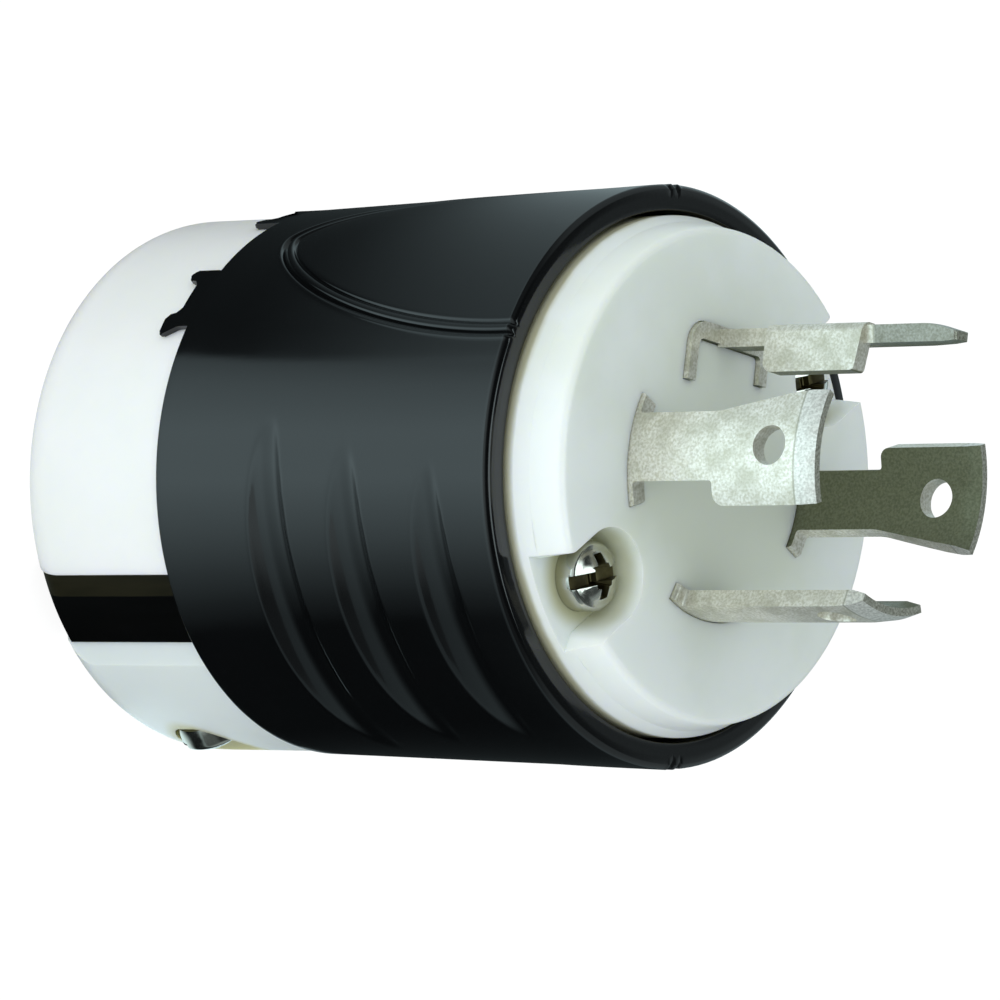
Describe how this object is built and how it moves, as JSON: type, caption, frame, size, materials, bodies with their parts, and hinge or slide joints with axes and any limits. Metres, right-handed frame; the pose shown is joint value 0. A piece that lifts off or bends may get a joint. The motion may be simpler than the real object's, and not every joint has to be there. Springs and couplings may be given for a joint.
{
  "type": "locking power plug",
  "caption": "Round locking power plug with curved twist-lock blades, a grooved grip collar and a screw cord clamp.",
  "frame": {"origin": "on the plug's axis, at the resting face of the cord clamp", "axes": "+Z along the axis towards the blade tips, X through the two assembly screws, +Y towards the fixed clamp half"},
  "size_m": [0.0522, 0.0522, 0.09],
  "materials": {
    "collar_black": "fine satin moulded nylon",
    "nylon_white": "satin natural white nylon",
    "core_black": "satin moulded nylon",
    "blade_nickel": "nickel-plated brass, finely blasted",
    "screw_nickel": "bright nickel-plated steel",
    "screw_brass": "turned brass",
    "screw_green": "green passivated",
    "plate_steel": "zinc-plated steel",
    "grommet_rubber": "matte moulded rubber"
  },
  "bodies": {
    "root": {"collar": "collar_black", "face_insert": "nylon_white", "blade_ground": "blade_nickel", "blade_line_x": "blade_nickel", "blade_line_y": "blade_nickel", "blade_neutral": "blade_nickel", "pressure_plate_ground": "plate_steel", "pressure_plate_x": "plate_steel", "pressure_plate_neutral": "plate_steel", "pressure_plate_y": "plate_steel", "terminal_screw_ground": "screw_green", "terminal_screws_line": "screw_brass", "terminal_screw_neutral": "screw_nickel", "wire_guide": "nylon_white", "assembly_screws": "screw_nickel", "assembly_nuts": "screw_brass", "cord_core": "core_black", "cord_grommet": "grommet_rubber", "clamp_half_fixed": "nylon_white", "clamp_half_moving": "nylon_white", "clamp_screws": "screw_nickel", "clamp_nuts": "plate_steel"}
  },
  "joints": []
}
